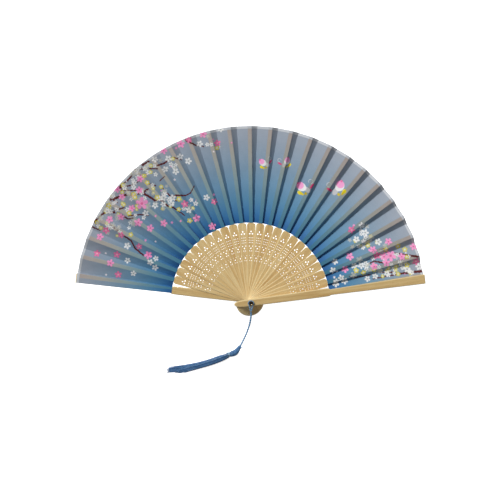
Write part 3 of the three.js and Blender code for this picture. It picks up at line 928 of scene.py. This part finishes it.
class Print:
    """Paint on a set of silk points: a colour and how much of it covers the silk."""

    def __init__(self, x, y):
        self.x, self.y = x, y
        self.colour = np.zeros((len(x), 3))
        self.cover = np.zeros(len(x))
        self.middle = np.array([x.mean(), y.mean()])
        self.reach = np.hypot(x - self.middle[0], y - self.middle[1]).max()

    def near(self, at, size):
        return math.hypot(at[0] - self.middle[0], at[1] - self.middle[1]) < self.reach + size

    def over(self, colour, mask):
        total = mask + self.cover * (1 - mask)
        old = self.colour * (self.cover * (1 - mask))[:, None]
        new = np.asarray(colour) * mask[:, None]
        self.colour = (old + new) / np.maximum(total, 1e-6)[:, None]
        self.cover = total

    def local(self, at, turn):
        """The points in a motif's own axes."""
        dx, dy = self.x - at[0], self.y - at[1]
        c, s = math.cos(turn), math.sin(turn)
        return dx * c + dy * s, dy * c - dx * s

    def blossom(self, at, size, turn, petal_colour, eye_colour, strength=1.0):
        """Five round petals, parted to near the middle, with a small eye."""
        if not self.near(at, size):
            return
        u, v = self.local(at, turn)
        away = np.hypot(u, v)
        lobes = np.abs(np.cos(2.5 * np.arctan2(v, u)))
        edge = size * (0.22 + 0.78 * lobes**0.5)
        self.over(petal_colour, strength * np.clip((edge - away) / SOFT + 0.5, 0, 1))
        veins = np.clip((lobes - 0.93) / 0.05, 0, 1) * np.clip(1 - away / (0.55 * size), 0, 1)
        self.over(eye_colour, 0.6 * strength * veins)
        self.over(eye_colour, strength * np.clip((0.22 * size - away) / SOFT + 0.5, 0, 1))

    def stamens(self, at, size, turn):
        """A small flower seen as a ring of yellow dots on a white heart."""
        if not self.near(at, size):
            return
        u, v = self.local(at, turn)
        self.over(WHITE, 0.75 * np.clip((0.62 * size - np.hypot(u, v)) / SOFT + 0.5, 0, 1))
        for i in range(5):
            a = 2 * math.pi * i / 5
            dot = np.hypot(u - 0.66 * size * math.cos(a), v - 0.66 * size * math.sin(a))
            self.over(YELLOW, np.clip((0.34 * size - dot) / SOFT + 0.5, 0, 1))

    def oval(self, at, turn, centre, long, wide, colour, strength=1.0):
        u, v = self.local(at, turn)
        inside = 1 - np.hypot((u - centre[0]) / long, (v - centre[1]) / wide)
        self.over(colour, strength * np.clip(inside * min(long, wide) / SOFT + 0.5, 0, 1))

    def stroke(self, points, start, end, colour):
        """A brush line through the points, from one half width to another."""
        lengths = [math.dist(a, b) for a, b in zip(points, points[1:])]
        done = 0.0
        for a, b, length in zip(points, points[1:], lengths):
            middle = ((a[0] + b[0]) / 2, (a[1] + b[1]) / 2)
            if self.near(middle, length):
                along = ((self.x - a[0]) * (b[0] - a[0]) + (self.y - a[1]) * (b[1] - a[1])) / length**2
                along = np.clip(along, 0, 1)
                off_x = self.x - a[0] - along * (b[0] - a[0])
                off_y = self.y - a[1] - along * (b[1] - a[1])
                away = np.hypot(off_x, off_y)
                share = (done + along * length) / sum(lengths)
                rough = 0.16 * np.sin(1.9 * self.x + 0.7 * self.y) + 0.12 * np.sin(2.6 * self.y - 1.1 * self.x)
                half = start + (end - start) * share + rough * min(start, 1)
                self.over(colour, np.clip((half - away) / SOFT + 0.5, 0, 1))
            done += length

    def butterfly(self, at, size, turn, side):
        """A pink-ended front wing, a white back wing painted grey as shade, yellow tails, a red tip and a curled
        feeler.
        """
        if not self.near(at, 2 * size):
            return

        def oval(u, v, long, wide, colour, strength=1.0):
            self.oval(at, turn, (u * size, side * v * size), long * size, wide * size, colour, strength)

        c, s = math.cos(turn), math.sin(turn)
        curl = []
        for a in np.radians(np.arange(-60, 230, 20)):
            u = size * (-0.45 + 0.24 * math.cos(a))
            v = side * size * (1.1 + 0.24 * math.sin(a))
            curl.append((at[0] + u * c - v * s, at[1] + u * s + v * c))
        self.stroke(curl, 0.25, 0.3, linear(200, 205, 208))
        oval(-0.25, -0.66, 0.26, 0.2, linear(236, 216, 40))
        oval(-0.5, -0.6, 0.24, 0.13, linear(222, 200, 30))
        oval(-0.82, -0.32, 0.16, 0.16, linear(206, 184, 40))
        # The back wing: white print painted grey, a painted shade, and a little see-through.
        oval(-0.72, 0.12, 0.42, 0.26, linear(206, 204, 204), 0.85)
        oval(-0.88, 0.78, 0.14, 0.34, linear(222, 66, 120))
        oval(0.0, 0.0, 0.56, 0.46, WHITE, 0.92)
        oval(0.2, 0.04, 0.4, 0.41, linear(250, 166, 214))
        oval(0.56, 0.1, 0.12, 0.12, linear(240, 110, 170))


SOFT = 0.5  # width of a motif's soft edge


def motif_list():
    """All blossoms in painting order, each with its own turn: kind, place, size and turn."""
    kinds = [
        ("faded", FADED_FLOWERS, 3.9),
        ("white", WHITE_FLOWERS, 3.5),
        ("yellow", YELLOW_FLOWERS, 2.8),
        ("deep", DEEP_PINK_FLOWERS, 3.9),
        ("pale", PALE_PINK_FLOWERS, 4.2),
        ("pale", BIG_PINK_FLOWERS, 6.2),
        ("bud", PINK_BUDS, 1.3),
    ]
    motifs = []
    for kind, places, size in kinds:
        for angle, radius in places:
            motifs.append((kind, polar(angle, radius), size * rng.uniform(0.9, 1.12), rng.uniform(0, 1.26)))
    return motifs


def cluster_list():
    """Small blossoms and loose petals, crowded along the branches."""
    sizes = {"white": 2.7, "faded": 2.9, "yellow": 2.5, "bud": 0.9}
    names = ["white", "faded", "yellow", "white", "faded", "bud"]
    strewn = []
    for angle, radius, spread, count in CLUSTERS:
        x, y = polar(angle, radius)
        for i in range(count):
            at = (x + rng.normal(0, spread), y + rng.normal(0, spread))
            kind = names[i % len(names)]
            if math.hypot(*at) < LEAF_OUTER - 1:
                strewn.append((kind, at, sizes[kind] * rng.uniform(0.7, 1.1), rng.uniform(0, 1.26)))
    return strewn


MOTIFS = [*cluster_list(), *motif_list()]


def painted(x, y):
    """The print's colour and cover at points of the leaf's plane."""
    paint = Print(x, y)
    for points, start, end in BRANCHES:
        paint.stroke([polar(*p) for p in points], 1.2 * start, 1.2 * end, BARK)
    for kind, at, size, turn in MOTIFS:
        if kind == "white":
            paint.blossom(at, size, turn, WHITE, linear(150, 160, 160), 0.88)
        elif kind == "faded":
            paint.blossom(at, size, turn, linear(206, 208, 204), linear(214, 206, 150), 0.62)
        elif kind == "yellow":
            paint.stamens(at, size, turn)
        elif kind == "deep":
            paint.blossom(at, size, turn, DEEP_PINK, linear(250, 190, 205))
        elif kind == "pale":
            paint.blossom(at, size, turn, PALE_PINK, linear(226, 110, 160))
        else:
            paint.blossom(at, size, turn, PALE_PINK if turn > 0.6 else WHITE, PALE_PINK)
    for angle, radius, size, turn, side in BUTTERFLIES:
        paint.butterfly(polar(angle, radius), size, math.radians(turn), side)
    return paint.colour, paint.cover


# ---- silk leaf ----
GRID = 0.42  # spacing of a panel's points
SILK_LIFT = 0.15  # silk's height over the bamboo it is glued to
TUCK_LIFT = 0.05  # the same under the front guard, clear of the first fold when the fan is closed
HEM_WIDTH = 3.2
HEM_LIFT = 0.22
SPAN_KEEP = 0.03
FOLD_KEEP = 0.1


def silk_height(k):
    return stick_back(k) + STICK_THICKNESS + SILK_LIFT


def leaf_point(angle, shift, r, z):
    """A point of the leaf: an angle in degrees with a shift across in millimetres, a radius and a height."""
    a = math.radians(angle) + shift / r
    return np.array([r * math.cos(a), r * math.sin(a), z])


def pleat_depth(r):
    """The pleats are pinched a little deeper beside the sticks than their even taper would have them."""
    return PLEAT_DEPTH * (0.22 + 0.78 * r / LEAF_OUTER)


def valley_point(k, r):
    return leaf_point(stick_angle(k) + VALLEY, 0, r, silk_height(k) - pleat_depth(r))


def ridge_point(k, r):
    if k == 0:
        return leaf_point(FRONT_GUARD_ANGLE + GUARD_COVER, 0, r, FRONT_GUARD_BACK - TUCK_LIFT)
    return leaf_point(stick_angle(k) + RIDGE, 0, r, silk_height(k))


def strip_edge_point(k, r):
    return leaf_point(stick_angle(k) + RIDGE, -STRIP_WIDTH - GAP, r, silk_height(k))


GUARD_SILK = -STACK / 2 + GUARD_THICKNESS + SILK_LIFT


def guard_width(side, r):
    along = (r - LEAF_INNER) / (LEAF_OUTER - LEAF_INNER)
    return side["neck"] + along * (side["tip"] - side["neck"])


def guard_far_point(r):
    return leaf_point(BACK_GUARD_ANGLE, guard_width(GUARD_OUTER, r) - 0.3, r, GUARD_SILK)


def guard_middle_point(r):
    return leaf_point(BACK_GUARD_ANGLE, -0.25 * guard_width(GUARD_INNER, r), r, GUARD_SILK)


def guard_near_point(r):
    return leaf_point(BACK_GUARD_ANGLE, -guard_width(GUARD_INNER, r) - 0.2, r, GUARD_SILK)


def end_valley_point(r):
    beside = guard_width(GUARD_INNER, r) + END_CREASE_GAP
    return leaf_point(BACK_GUARD_ANGLE, -beside, r, GUARD_SILK - END_DEPTH * r / LEAF_OUTER)


def under_guard_point(r):
    return leaf_point(FRONT_GUARD_ANGLE - GUARD_COVER / 2, 0, r, FRONT_GUARD_BACK - TUCK_LIFT)


def silk_panel(name, creases, glued, slack):
    """A panel of the leaf between crease lines, each a function of the radius.

    glued says for each strip between two creases whether it lies on bamboo, and slack how far it sags."""
    rows = int((LEAF_OUTER - LEAF_INNER) / GRID)
    radii = np.linspace(LEAF_INNER, LEAF_OUTER, rows + 1)
    edges = [np.array([crease(r) for r in radii]) for crease in creases]
    columns, strips, arcs = [], [], []
    arc_start = np.zeros(rows + 1)
    for i, (left, right) in enumerate(zip(edges, edges[1:])):
        width = np.linalg.norm(right - left, axis=1)
        steps = max(2, int(width.max() / GRID))
        normal = np.cross(right - left, left)
        normal /= np.linalg.norm(normal, axis=1)[:, None]
        normal *= np.sign(normal[:, 2:3])
        waves = rng.uniform(0, 6.28, 4)
        shares = np.linspace(0, 1, steps + 1)[0 if i == 0 else 1 :]
        for share in shares:
            belly = math.sin(math.pi * share)
            wrinkle = 0.5 * np.sin(radii / 9.0 + waves[0] + 2.5 * share)
            wrinkle += 0.3 * np.sin(radii / 4.1 + waves[1] - 4.0 * share)
            wrinkle += 0.2 * np.sin(radii / 2.3 + waves[2] + 7.0 * share)
            sag = slack[i] * belly * (wrinkle * 0.35 - 0.8) * (radii / LEAF_OUTER)
            columns.append(left + share * (right - left) + normal * sag[:, None])
            strips.append(np.full(rows + 1, 1.0 if glued[i] else 0.0))
            arcs.append(arc_start + share * width)
        arc_start = arc_start + width
    points = np.stack(columns, 1)
    across = points.shape[1]
    hem = np.clip((radii - (LEAF_OUTER - HEM_WIDTH)) / GRID, 0, 1)
    ends = np.clip((LEAF_OUTER - radii) / GRID, 0, 1)
    points[:, :, 2] += (HEM_LIFT * hem * ends)[:, None]
    vertices = points.reshape(-1, 3)
    faces = []
    for i in range(rows):
        for j in range(across - 1):
            a = i * across + j
            faces.append((a, a + 1, a + across + 1, a + across))
    made = mesh_object(name, vertices, faces, SILK, FAN)
    if made.data.polygons[0].normal @ FAN_NORMAL < 0:
        made.data.flip_normals()
    point_values(made, "strip", np.stack(strips, 1).ravel())
    point_values(made, "hem", np.repeat(hem, across))
    colour, cover = painted(vertices[:, 0], vertices[:, 1])
    attribute = made.data.color_attributes.new("print", "FLOAT_COLOR", "POINT")
    attribute.data.foreach_set("color", np.column_stack([colour, cover]).astype(np.float32).ravel())
    uv = np.stack([np.stack(arcs, 1), np.repeat(radii[:, None], across, 1)], 2).reshape(-1, 2) * UV_SCALE
    layer = made.data.uv_layers.new(name="arc_and_radius")
    corners = np.zeros(len(made.data.loops), np.int64)
    made.data.loops.foreach_get("vertex_index", corners)
    layer.data.foreach_set("uv", uv[corners].astype(np.float32).ravel())
    widths = [sum(np.linalg.norm(b[i] - a[i]) for a, b in zip(edges, edges[1:])) for i in (0, -1)]
    length = LEAF_OUTER - LEAF_INNER
    return made, (max(widths) * MM, length * MM), sum(widths) / 2 * length * MM * MM


def hang(panel, body, joint, axis, anchor, keep, rests_on, *nodes):
    """Gives a panel its body, hides the nodes it stands for and, where it has a fold, a mesh of its own."""
    made, flat, area = panel
    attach(made, body)
    if nodes:
        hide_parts(*nodes)
    if joint:
        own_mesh(made)


def across_panel(line, far):
    """The direction in a panel that is square to its crease line, towards the far crease."""
    a, b = line(LEAF_INNER), line(LEAF_OUTER)
    along = (b - a) / np.linalg.norm(b - a)
    away = far(LEAF_OUTER) - b
    away -= along * (away @ along)
    return FAN.to_3x3() @ Vector(away / np.linalg.norm(away)) / MM


def in_frame(point):
    return FAN @ Vector(point)


for k in range(1, STICKS + 1):
    ridge = lambda r, k=k: ridge_point(k, r)
    edge = lambda r, k=k: strip_edge_point(k, r)
    valley = lambda r, k=k: valley_point(k, r)
    before = lambda r, k=k: ridge_point(k - 1, r)
    fold = silk_panel(numbered("silk_fold", k), [ridge, edge, valley], [True, False], [0.0, 0.3])
    anchor = in_frame(ridge(LEAF_OUTER))
    resting = [numbered("pierced_stick", k)]
    body, joint = body_of_stick(k), numbered("fold", k)
    hang(fold, body, joint, FAN_NORMAL, anchor, FOLD_KEEP, resting, numbered("leaf", k))
    span = silk_panel(numbered("silk_span", k), [valley, before], [False], [0.6])
    resting = [numbered("pierced_stick", k - 1) if k > 1 else "rounded_front_guard"]
    anchor = in_frame(before(LEAF_OUTER))
    axis = across_panel(before, valley)
    hang(span, body_of_stick(k - 1), joint, axis, anchor, SPAN_KEEP, resting)

front_ridge = lambda r: ridge_point(0, r)
tucked = silk_panel("silk_under_front_guard", [front_ridge, under_guard_point], [True], [0.0])
hang(tucked, "front_guard", None, None, None, None, ["rounded_front_guard"])

LAST = STICKS + 1
end_creases = [guard_far_point, guard_middle_point, guard_near_point, end_valley_point]
cover = silk_panel(numbered("silk_fold", LAST), end_creases, [False, True, False], [0.0, 0.0, 0.0])
hang(cover, "back_guard", None, None, None, None, ["rounded_back_guard"], numbered("leaf", LAST))
last_ridge = lambda r: ridge_point(STICKS, r)
span = silk_panel(numbered("silk_span", LAST), [end_valley_point, last_ridge], [False], [0.5])
axis = across_panel(last_ridge, end_valley_point)
anchor = in_frame(last_ridge(LEAF_OUTER))
resting = [numbered("pierced_stick", STICKS)]
hang(span, body_of_stick(STICKS), numbered("fold", LAST), axis, anchor, SPAN_KEEP, resting)

# ---- floor, light and surroundings ----


def floor():
    """A white floor that takes shadows but throws no light back on the fan."""
    size = 12
    look = Look("pale_floor", Roughness=0.8)
    where = look.node("TexCoord").outputs["Object"]
    colour = look.ramp(look.noise(where, 3.0, 2.0), [(0.3, (250, 250, 250)), (0.7, (253, 253, 253))])
    corners = [(-size, -size, 0), (size, -size, 0), (size, size, 0), (-size, size, 0)]
    made = mesh_object("floor", corners, [(0, 1, 2, 3)], look.finish(colour))
    look.shader.inputs["Emission Color"].default_value = (1, 1, 1, 1)
    look.shader.inputs["Emission Strength"].default_value = 0.8
    made.visible_diffuse = False
    made.visible_glossy = False
    made.location.z = FLOOR * MM


def sun(name, towards, strength, softness):
    """A sun whose light comes from a direction given in the fan's own axes."""
    data = bpy.data.lights.new(name, "SUN")
    data.energy = strength
    data.angle = math.radians(softness)
    made = bpy.data.objects.new(name, data)
    made.rotation_euler = (FAN.to_3x3() @ Vector(towards)).to_track_quat("Z", "Y").to_euler()
    bpy.context.scene.collection.objects.link(made)


floor()
sun("key_light", (-0.47, 0.58, 0.665), 2.5, 12)
sun("back_light", (0.1, 0.5, -0.85), 1.3, 20)
world = bpy.data.worlds.new("studio")
bpy.context.scene.world = world
world.use_nodes = True
world.node_tree.nodes["Background"].inputs["Color"].default_value = (0.97, 0.98, 1.0, 1)
world.node_tree.nodes["Background"].inputs["Strength"].default_value = 0.19
bpy.context.scene.view_settings.view_transform = "Standard"
